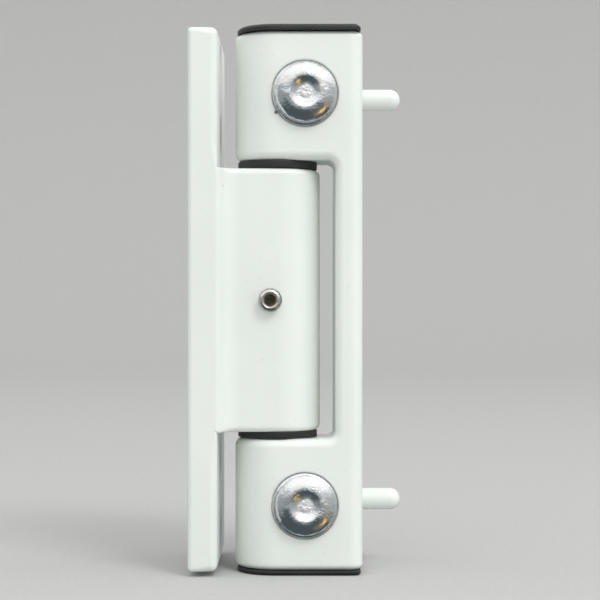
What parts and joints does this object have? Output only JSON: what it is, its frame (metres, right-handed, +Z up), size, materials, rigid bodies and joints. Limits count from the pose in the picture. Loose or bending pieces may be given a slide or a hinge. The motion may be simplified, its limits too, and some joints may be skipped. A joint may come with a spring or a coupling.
{
  "type": "door hinge",
  "caption": "Knuckle door hinge: a frame leaf with capped knuckle blocks and locating pegs, joined by a steel pin to a sash leaf that carries the middle knuckle and swings open.",
  "frame": {"origin": "centre of the frame leaf's mounting face", "axes": "+X out of the frame leaf's mounting face into the door frame, +Z up along the hinge pin, -Y towards the front, where the knuckles and the rivet heads are"},
  "size_m": [0.0392, 0.0326, 0.1],
  "materials": {
    "white_paint": "semi-gloss powder coat over a metal casting",
    "dark_plastic": "moulded charcoal grey nylon, satin",
    "bright_zinc": "bright zinc plate with fine turning marks",
    "plain_steel": "plain bright steel"
  },
  "bodies": {
    "frame": {"frame_leaf": "white_paint", "upper_locating_peg": "white_paint", "lower_locating_peg": "white_paint", "top_end_cap": "dark_plastic", "bottom_end_cap": "dark_plastic", "upper_flanged_bush": "dark_plastic", "lower_flanged_bush": "dark_plastic", "upper_retaining_rivet": "bright_zinc", "lower_retaining_rivet": "bright_zinc", "upper_rivet_washer": "bright_zinc", "lower_rivet_washer": "bright_zinc", "upper_rivet_back_washer": "bright_zinc", "lower_rivet_back_washer": "bright_zinc"},
    "sash": {"sash_leaf": "white_paint", "hinge_pin": "plain_steel"},
    "set_screw": {"pin_grub_screw": "plain_steel"}
  },
  "joints": [
    {"name": "door_swing", "type": "hinge", "parent": "frame", "child": "sash", "pos_m": [-0.01555, -0.0072, 0], "axis": [0, 0, 1], "range_deg": [0, 92]},
    {"name": "set_screw_turn", "type": "hinge", "parent": "sash", "child": "set_screw", "pos_m": [-0.0168, -0.015, 0], "axis": [0, -1, 0], "range_deg": [0, 360]}
  ]
}
